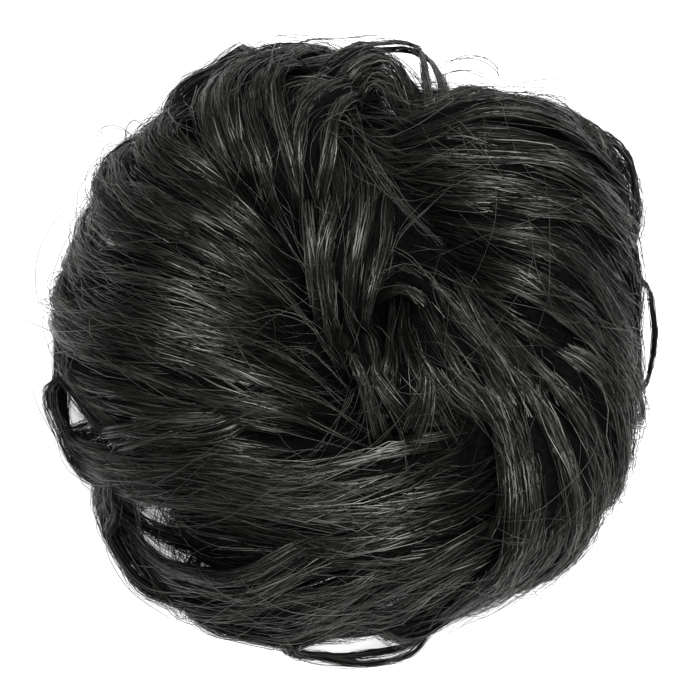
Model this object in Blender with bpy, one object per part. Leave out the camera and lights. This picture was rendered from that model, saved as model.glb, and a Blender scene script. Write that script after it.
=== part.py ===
"""A messy-bun hairpiece: wavy locks of hair round an elastic band, lying on a table as it would by itself.

The hair is charted from above. Lengths are in millimetres until a mesh is made: x to the right, y up the plan
and z up from the table. The band's axis is z, and the wearer's own bun goes in from below.
"""

import math
from collections import namedtuple

import bmesh
import bpy
import numpy as np

MM = 0.001

# Driving sizes
TOP = 46.0  # the mass of hair under the locks, at its crest
RIM_RADIUS = 67.0  # the mass of hair where it is widest
BAND_RADIUS = 24.0  # the elastic band's centre line
BAND_CORD = 5.5  # the elastic band's own thickness
BAND_HEIGHT = 12.0  # the band's centre line above the table
BAND_GAP = 0.3  # between the band and the hair sewn round it
BAND_GROOVE = 50  # degrees up and down round the cord that the hair's groove for it covers
FOOT_INNER = 31.0  # the flat ring of hair that lies on the table
FOOT_OUTER = 56.0
TURNS = 38  # faces round the band and the mass of hair
CORD_SIDES = 10
OUTSIDE_STATIONS = 15  # down the outside of the mass of hair

Station = namedtuple("Station", "radius height")
# The hollow for the wearer's own bun, from the middle of its ceiling to the wall over the band
HOLLOW = (Station(0.0, 31.0), Station(13.0, 30.0), Station(21.0, 27.0), Station(BAND_RADIUS, 21.0))
# Where the mouth under the band starts to flare out to the foot
MOUTH = Station(BAND_RADIUS + 0.6, 7.0)
# The hair's surface from the middle of the top, over the crest and the rim, to the foot
MERIDIAN = (
    Station(0.0, 0.82 * TOP),
    Station(11.0, 0.87 * TOP),
    Station(22.0, 0.95 * TOP),
    Station(34.0, TOP),
    Station(46.0, 0.95 * TOP),
    Station(56.0, 0.80 * TOP),
    Station(64.0, 0.60 * TOP),
    Station(RIM_RADIUS, 0.40 * TOP),
    Station(65.0, 0.18 * TOP),
    Station(60.0, 0.05 * TOP),
)

# Locks that rise out of the middle, and most of them fall over the rim. A route is the lock's middle line, as
# x, y and height over the table. Past its last place the lock runs on down the side for tuck.
Lock = namedtuple("Lock", "name width thick tuck route")
CROWN_LOCKS = (
    Lock("upper_left_back", 14, 8, 12, ((-21, 32, 36), (-35, 49, 40), (-41, 54, 33), (-47, 58, 23))),
    Lock("upper_left_high", 15, 10, 10,
         ((-18, 26, 36), (-28, 31, 49), (-37, 38, 50), (-50, 50, 37), (-50, 56, 24))),
    Lock("upper_left_low", 14, 10, 10,
         ((-16, 15, 36), (-27, 23, 51), (-49, 35, 45), (-60, 44, 29), (-57, 50, 20))),
    Lock("left_high", 14, 10, 10, ((-12, 7, 35), (-22, 14, 46), (-34, 21, 51), (-56, 31, 38), (-61, 45, 19))),
    Lock("left_middle", 15, 10, 10,
         ((-6, -3, 35), (-17, 6, 43), (-30, 12, 49), (-56, 16, 42), (-69, 24, 20))),
    Lock("left_bright", 12, 10, 10,
         ((-1, -11, 35), (-12, -4, 45), (-26, 3, 51), (-54, 5, 46), (-71, 13, 21))),
    Lock("left_low", 13, 9, 10, ((1, -17, 36), (-10, -11, 47), (-23, -6, 52), (-51, -2, 46), (-72, 3, 21))),
    Lock("left_edge", 9, 8, 10,
         ((-4, -16, 39), (-16, -12, 48), (-29, -10, 50), (-55, -10, 40), (-73, -4, 19))),
    Lock("sweep_high", 13, 10, 10,
         ((37, -25, 36), (15, -23, 53), (-9, -26, 49), (-36, -26, 44), (-69, -21, 19))),
    Lock("sweep_low", 14, 10, 0,
         ((37, -31, 35), (15, -32, 53), (-11, -33, 48), (-36, -33, 42), (-61, -32, 24))),
    Lock("bowl_top", 10, 9, 0, ((39, -36, 34), (31, -38, 45), (8, -41, 50), (-17, -40, 43), (-28, -39, 37))),
    Lock("bowl_left", 10, 8, 0, ((-12, -47, 39), (-33, -47, 36), (-41, -43, 32), (-45, -37, 28))),
    Lock("bowl", 12, 9, 10, ((6, -47, 39), (-13, -54, 41), (-36, -55, 31), (-54, -46, 21), (-59, -37, 17))),
    Lock("bowl_low", 12, 9, 12, ((11, -50, 35), (1, -57, 36), (-24, -63, 26), (-49, -57, 18))),
    Lock("bottom_sweep", 12, 9, 12, ((40, -40, 34), (25, -48, 46), (5, -55, 38), (-17, -63, 22))),
    Lock("bottom", 11, 8, 12, ((20, -58, 30), (-1, -68, 22), (-25, -70, 15))),
    Lock("inner_bright", 8, 9, 12, ((5, 12, 42), (14, 18, 52), (30, -2, 49), (41, -32, 50), (21, -67, 17))),
    Lock("inner_outer", 10, 9, 12, ((21, 21, 39), (28, 6, 51), (44, -25, 50), (43, -46, 39), (31, -63, 19))),
    Lock("inner_root", 9, 8, 12, ((24, 2, 38), (34, -14, 51), (37, -34, 49), (20, -62, 24))),
    Lock("right_middle", 10, 9, 12, ((25, 20, 38), (38, 2, 46), (54, -27, 46), (44, -58, 18))),
    Lock("right_bright", 10, 9, 12, ((28, 16, 38), (46, -1, 50), (60, -19, 41), (59, -42, 23))),
    Lock("right_outer", 14, 9, 12, ((40, 13, 43), (50, 6, 45), (65, -11, 33), (67, -22, 24))),
    Lock("upper_right_edge", 9, 7, 12, ((20, 58, 34), (26, 64, 31), (43, 65, 24), (59, 55, 14))),
    Lock("upper_right_high", 13, 8, 12, ((6, 48, 37), (27, 54, 46), (52, 53, 39), (69, 39, 17))),
    Lock("upper_right_bright", 16, 9, 12,
         ((8, 41, 36), (19, 43, 45), (43, 42, 50), (64, 33, 34), (70, 24, 21))),
    Lock("upper_right_middle", 12, 9, 12,
         ((10, 35, 35), (19, 35, 42), (42, 31, 53), (62, 20, 37), (69, 10, 23))),
    Lock("upper_right_low", 16, 10, 12,
         ((13, 27, 35), (22, 25, 40), (42, 14, 53), (59, -1, 39), (65, -11, 26))),
    Lock("top_left", 13, 8, 12, ((-19, 35, 36), (-23, 44, 45), (-28, 61, 39), (-24, 73, 21))),
    Lock("top_fan", 14, 8, 0, ((-12, 29, 36), (-13, 42, 50), (-14, 56, 47), (-8, 65, 36))),
    Lock("top_dome", 14, 9, 0, ((-3, 55, 34), (-3, 64, 35), (8, 70, 31), (17, 57, 31))),
    Lock("centre_left", 9, 7, 0, ((-7, 50, 36), (-8, 35, 48), (-6, 20, 51), (-4, 5, 38))),
    Lock("centre_bright", 13, 8, 0, ((3, 52, 36), (3, 36, 46), (1, 20, 54), (2, 2, 40))),
    Lock("centre_low", 10, 9, 0, ((-1, 9, 42), (2, 0, 50), (8, -15, 50), (12, -23, 37))),
    Lock("centre_tuft", 14, 9, 0, ((13, 16, 41), (16, 6, 48), (21, -9, 51), (25, -17, 42))),
    Lock("centre_tuft_right", 8, 8, 0, ((18, 17, 43), (26, 0, 52), (37, -17, 37))),
)

# Locks that run along the rim, given in the same way. Their width lies up and down the side.
RIM_LOCKS = (
    Lock("left_shoulder", 12, 7, 0, ((-44, 56, 28), (-59, 47, 20), (-62, 39, 22), (-56, 27, 33))),
    Lock("left_outer", 13, 7, 0, ((-60, 36, 27), (-71, 13, 17), (-74, -12, 16), (-64, -29, 23))),
    Lock("left_inner", 11, 7, 0, ((-62, 22, 34), (-70, 6, 27), (-66, -12, 29), (-59, -19, 32))),
    Lock("left_corner", 12, 7, 0, ((-73, -8, 20), (-68, -26, 15), (-51, -33, 20))),
    Lock("lower_left_outer", 14, 8, 0, ((-59, -31, 24), (-57, -49, 13), (-44, -61, 15), (-36, -63, 21))),
    Lock("bottom_left_outer", 13, 8, 0, ((-42, -60, 22), (-24, -71, 13), (-4, -70, 19), (5, -65, 27))),
    Lock("bottom_thin", 5, 4, 0, ((-15, -72, 22), (-8, -76, 14), (10, -75, 13), (19, -70, 20))),
    Lock("bottom_right_outer", 14, 8, 0, ((8, -71, 22), (32, -61, 13), (49, -48, 16), (56, -38, 24))),
    Lock("right_low_outer", 14, 8, 0, ((47, -52, 23), (65, -27, 13), (69, -3, 18), (66, 7, 27))),
    Lock("right_upper_outer", 13, 7, 0, ((69, -14, 24), (70, 0, 19), (67, 23, 25), (62, 33, 33))),
    Lock("right_thin", 5, 4, 0, ((71, 17, 21), (75, 4, 14), (71, -9, 20))),
    Lock("upper_right_outer", 14, 8, 0, ((54, 58, 23), (68, 44, 14), (69, 23, 19), (65, 14, 28))),
    Lock("top_right_outer", 12, 7, 0, ((18, 60, 30), (37, 64, 18), (57, 56, 17), (63, 49, 24))),
    Lock("top_thin", 6, 5, 0, ((-3, 73, 24), (10, 77, 17), (19, 73, 19), (23, 62, 31))),
    Lock("top_left_outer", 13, 8, 0, ((-34, 65, 27), (-17, 75, 15), (0, 72, 20), (6, 66, 28))),
    Lock("upper_left_outer", 12, 7, 0, ((-46, 53, 27), (-38, 66, 16), (-31, 70, 17), (-24, 71, 24))),
)
TIP_DIP = -3.0  # the lift of a tucked end, under the surface of the mass
KEEL = 2.0  # how deep a lock's underside runs into the mass
WIDEST_SPREAD = 1.7  # the most that a lock's width grows round the rim
LOCK_SIDES = 7
LOCK_STATIONS = 9

SHORTEST_EDGE = 0.02  # shorter edges are merged once the locks are fused
CURVE_STEPS = 40  # between two given places of a curve
SURFACE_STEPS = 240  # down the hair's surface

# Width and thickness along a lock, as shares of its own, from root to tip
Taper = namedtuple("Taper", "along share")
TAPER = (Taper(0.0, 0.45), Taper(0.2, 0.85), Taper(0.5, 1.0), Taper(0.8, 0.95), Taper(1.0, 0.5))

HAIR_BLACK = (0.012, 0.012, 0.012, 1.0)
BAND_BLACK = (0.02, 0.02, 0.021, 1.0)


def smooth_curve(points, count):
    """count points, evenly spaced, on a Catmull-Rom curve through the given ones."""
    points = np.array(points, float)
    padded = np.vstack([2 * points[0] - points[1], points, 2 * points[-1] - points[-2]])
    fine = []
    for i in range(len(points) - 1):
        a, b, c, d = padded[i : i + 4]
        for t in np.linspace(0, 1, CURVE_STEPS, endpoint=False):
            bend = (2 * a - 5 * b + 4 * c - d) * t**2 + (3 * b - a - 3 * c + d) * t**3
            fine.append(0.5 * (2 * b + (c - a) * t + bend))
    fine = np.array([*fine, points[-1]])
    along = np.concatenate([[0], np.cumsum(np.linalg.norm(np.diff(fine, axis=0), axis=1))])
    wanted = np.linspace(0, along[-1], count)
    return np.stack([np.interp(wanted, along, column) for column in fine.T], 1)


class HairSurface:
    """The mass of hair as a turned surface. A place on it is a point of a flat chart: its reach, in mm along
    the surface from the middle of the top, in the direction seen from above."""

    def __init__(self):
        line = smooth_curve(MERIDIAN, SURFACE_STEPS)
        step = np.diff(line, axis=0)
        self.reach = np.concatenate([[0], np.cumsum(np.linalg.norm(step, axis=1))])
        self.radius, self.height = line.T
        tangent = np.gradient(line, axis=0)
        tangent[0] = (1.0, 0.0)
        tangent /= np.linalg.norm(tangent, axis=1)[:, None]
        self.normal = np.stack([-tangent[:, 1], tangent[:, 0]], 1)

    def chart(self, x, y, height):
        """The chart place of a point in space and its lift off the surface."""
        radius = math.hypot(x, y)
        near = np.argmin((radius - self.radius) ** 2 + (height - self.height) ** 2)
        away = np.array([radius - self.radius[near], height - self.height[near]])
        reach = self.reach[near]
        return reach * x / radius, reach * y / radius, away @ self.normal[near]

    def radius_at(self, reach):
        return np.interp(reach, self.reach, self.radius)

    def place(self, chart, lift):
        """Points in space from chart places (n, 2), each lifted off the surface by lift."""
        reach = np.linalg.norm(chart, axis=1)
        outward = chart / np.maximum(reach, 1e-9)[:, None]
        radius = np.interp(reach, self.reach, self.radius)
        height = np.interp(reach, self.reach, self.height)
        normal_out = np.interp(reach, self.reach, self.normal[:, 0])
        normal_up = np.interp(reach, self.reach, self.normal[:, 1])
        flat = outward * (radius + lift * normal_out)[:, None]
        return np.column_stack([flat, height + lift * normal_up])


def lock_route(surface, lock):
    """The chart places and lifts that a lock's middle line runs through."""
    stops = [surface.chart(*stop) for stop in lock.route]
    if lock.tuck:
        x, y, _ = stops[-1]
        longer = 1 + lock.tuck / math.hypot(x, y)
        stops.append((x * longer, y * longer, TIP_DIP))
    return stops


def lock_rings(surface, lock):
    """The lock's cross-sections: an oval at each station, with its underside sunk in the mass of hair."""
    path = smooth_curve(lock_route(surface, lock), LOCK_STATIONS)
    ahead = np.gradient(path[:, :2], axis=0)
    ahead /= np.linalg.norm(ahead, axis=1)[:, None]
    side = np.stack([-ahead[:, 1], ahead[:, 0]], 1)
    share = np.interp(np.linspace(0, 1, LOCK_STATIONS), [t.along for t in TAPER], [t.share for t in TAPER])
    turn = np.linspace(0, 2 * math.pi, LOCK_SIDES, endpoint=False)
    rings = []
    for centre, across, part in zip(path, side, share):
        reach = np.linalg.norm(centre[:2])
        outward = centre[:2] / max(reach, 1e-9)
        # A mm round the chart is less than a mm round the rim, so the width that runs that way grows.
        spread = min(max(reach, 1.0) / max(surface.radius_at(reach), 1.0), WIDEST_SPREAD)
        round_rim = across - outward * (across @ outward)
        across = across + round_rim * (spread - 1)
        chart = centre[:2] + np.outer(np.cos(turn), across) * lock.width * part / 2
        over = lock.thick * part / 2
        under = max(over, centre[2] + KEEL)
        lift = centre[2] + np.sin(turn) * np.where(np.sin(turn) > 0, over, under)
        rings.append(surface.place(chart, lift))
    return rings


def loft(shape, rings):
    """Adds a closed body through the rings to the bmesh, with its faces pointing out."""
    loops = [[shape.verts.new(p * MM) for p in ring] for ring in rings]
    faces = [shape.faces.new(loops[0]), shape.faces.new(loops[-1])]
    for near, far in zip(loops, loops[1:]):
        for i in range(len(near)):
            j = (i + 1) % len(near)
            faces.append(shape.faces.new((near[i], near[j], far[j], far[i])))
    bmesh.ops.recalc_face_normals(shape, faces=faces)


def material(name, colour, roughness):
    made = bpy.data.materials.new(name)
    made.use_nodes = True
    shader = made.node_tree.nodes["Principled BSDF"]
    shader.inputs["Base Color"].default_value = colour
    shader.inputs["Roughness"].default_value = roughness
    shader.inputs["Metallic"].default_value = 0.0
    made.diffuse_color = colour
    return made


def add_object(name, shape, finish):
    """Turns the bmesh into an object of the scene."""
    mesh = bpy.data.meshes.new(name)
    shape.to_mesh(mesh)
    shape.free()
    mesh.materials.append(finish)
    mesh.shade_smooth()
    made = bpy.data.objects.new(name, mesh)
    bpy.context.scene.collection.objects.link(made)
    return made


def mass_outline():
    """Half a section of the mass of hair: from the middle of the hollow to the foot, and over the top."""
    groove = []
    for turn in np.radians(np.linspace(BAND_GROOVE, -BAND_GROOVE, 5)):
        away = BAND_CORD / 2 + BAND_GAP
        groove.append((BAND_RADIUS + away * math.cos(turn), BAND_HEIGHT + away * math.sin(turn)))
    outside = smooth_curve(MERIDIAN, OUTSIDE_STATIONS)[::-1]
    return [*HOLLOW, *groove, MOUTH, (FOOT_INNER, 0.0), (FOOT_OUTER, 0.0), *outside]


def make_hair_mass(finish):
    """Turns the section round the band's axis."""
    shape = bmesh.new()
    verts = [shape.verts.new((radius * MM, 0, height * MM)) for radius, height in mass_outline()]
    edges = [shape.edges.new(pair) for pair in zip(verts, verts[1:])]
    turned = {"cent": (0, 0, 0), "axis": (0, 0, 1), "angle": 2 * math.pi, "steps": TURNS}
    bmesh.ops.spin(shape, geom=verts + edges, use_merge=True, **turned)
    bmesh.ops.remove_doubles(shape, verts=shape.verts, dist=0.001 * MM)
    bmesh.ops.recalc_face_normals(shape, faces=shape.faces)
    return add_object("hair_locks", shape, finish)


def make_locks(surface, finish):
    shape = bmesh.new()
    for lock in CROWN_LOCKS + RIM_LOCKS:
        loft(shape, lock_rings(surface, lock))
    return add_object("lock_bodies", shape, finish)


def fuse(body, other):
    """Joins the other body to this one, and fills the sealed pockets that crossing locks leave."""
    joined = body.modifiers.new("fuse_locks", "BOOLEAN")
    joined.operation = "UNION"
    joined.solver = "EXACT"
    joined.use_self = True
    joined.object = other
    shape = bmesh.new()
    shape.from_object(body, bpy.context.evaluated_depsgraph_get())
    bmesh.ops.dissolve_degenerate(shape, edges=shape.edges, dist=SHORTEST_EDGE * MM)
    bmesh.ops.triangulate(shape, faces=shape.faces)
    drop_fins(shape)
    islands = sorted(split_islands(shape), key=len)
    bmesh.ops.delete(shape, geom=[v for island in islands[:-1] for v in island], context="VERTS")
    body.modifiers.clear()
    shape.to_mesh(body.data)
    shape.free()
    body.data.shade_smooth()
    bpy.data.objects.remove(other)


def drop_fins(shape):
    """Takes out triangles that lie back to back on the same three corners, and edges left with no face."""
    by_corners = {}
    for face in shape.faces:
        by_corners.setdefault(frozenset(face.verts), []).append(face)
    fins = [face for faces in by_corners.values() if len(faces) > 1 for face in faces]
    bmesh.ops.delete(shape, geom=fins, context="FACES")
    bare = [edge for edge in shape.edges if not edge.link_faces]
    bmesh.ops.delete(shape, geom=bare, context="EDGES")


def split_islands(shape):
    """The bmesh's vertices in lists, one for each part that hangs together."""
    left = set(shape.verts)
    islands = []
    while left:
        found = [left.pop()]
        for vert in found:
            for edge in vert.link_edges:
                other = edge.other_vert(vert)
                if other in left:
                    left.remove(other)
                    found.append(other)
        islands.append(found)
    return islands


def make_band(finish):
    bpy.ops.mesh.primitive_torus_add(
        major_radius=BAND_RADIUS * MM,
        minor_radius=BAND_CORD / 2 * MM,
        major_segments=TURNS,
        minor_segments=CORD_SIDES,
        location=(0, 0, BAND_HEIGHT * MM),
    )
    band = bpy.context.object
    band.name = band.data.name = "elastic_band"
    band.data.materials.append(finish)
    band.data.shade_smooth()


def main():
    for old in list(bpy.data.objects):
        bpy.data.objects.remove(old)
    surface = HairSurface()
    hair = material("black_hair", HAIR_BLACK, 0.35)
    make_band(material("black_elastic", BAND_BLACK, 0.8))
    fuse(make_hair_mass(hair), make_locks(surface, hair))


main()
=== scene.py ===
"""The looks of the messy-bun hairpiece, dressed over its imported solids.

The hair is laid out in millimetres: x to the right and y up the photograph, z up from the table. Strands are
worked out on a flat chart of the hair's surface, and their meshes are written in metres.
"""

import math
from collections import namedtuple

import bmesh
import bpy
import numpy as np
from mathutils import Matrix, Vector


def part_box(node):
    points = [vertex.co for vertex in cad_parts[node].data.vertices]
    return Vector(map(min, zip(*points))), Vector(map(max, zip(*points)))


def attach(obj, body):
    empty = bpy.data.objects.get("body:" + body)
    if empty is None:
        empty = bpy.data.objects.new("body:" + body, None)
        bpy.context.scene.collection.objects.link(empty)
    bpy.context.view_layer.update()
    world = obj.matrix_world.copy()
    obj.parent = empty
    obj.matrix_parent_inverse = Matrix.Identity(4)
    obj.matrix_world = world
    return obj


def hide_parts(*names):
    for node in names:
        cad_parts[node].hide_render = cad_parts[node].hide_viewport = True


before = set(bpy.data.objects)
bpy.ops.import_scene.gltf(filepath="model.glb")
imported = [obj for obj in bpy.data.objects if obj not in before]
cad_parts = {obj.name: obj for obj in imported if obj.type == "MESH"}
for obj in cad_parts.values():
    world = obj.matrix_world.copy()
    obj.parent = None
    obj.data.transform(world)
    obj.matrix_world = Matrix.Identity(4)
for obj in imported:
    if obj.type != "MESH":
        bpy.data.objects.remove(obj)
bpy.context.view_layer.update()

MM = 0.001
TINY = 1e-9  # keeps what is divided by from being zero
SEED = 11

# The band, as the frame holds it
BAND_LOW, BAND_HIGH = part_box("elastic_band")
BAND_CORD = (BAND_HIGH.z - BAND_LOW.z) / MM
BAND_HEIGHT = (BAND_HIGH.z + BAND_LOW.z) / 2 / MM
BAND_RADIUS = (BAND_HIGH.x - BAND_LOW.x) / 2 / MM - BAND_CORD / 2
BAND_GAP = 0.3

# The hair's surface from the middle of the top, over the crest and the rim, and in under to the band
TOP = 50.0
RIM_RADIUS = 70.0
Station = namedtuple("Station", "radius height")
MERIDIAN = (
    Station(0.0, 0.80 * TOP),
    Station(11.0, 0.84 * TOP),
    Station(22.0, 0.95 * TOP),
    Station(34.0, TOP),
    Station(47.0, 0.95 * TOP),
    Station(58.0, 0.80 * TOP),
    Station(66.0, 0.60 * TOP),
    Station(RIM_RADIUS, 0.38 * TOP),
    Station(67.0, 0.17 * TOP),
    Station(60.0, 0.05 * TOP),
    Station(50.0, 0.03 * TOP),
    Station(38.0, 0.03 * TOP),
    Station(31.0, 0.06 * TOP),
)

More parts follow.
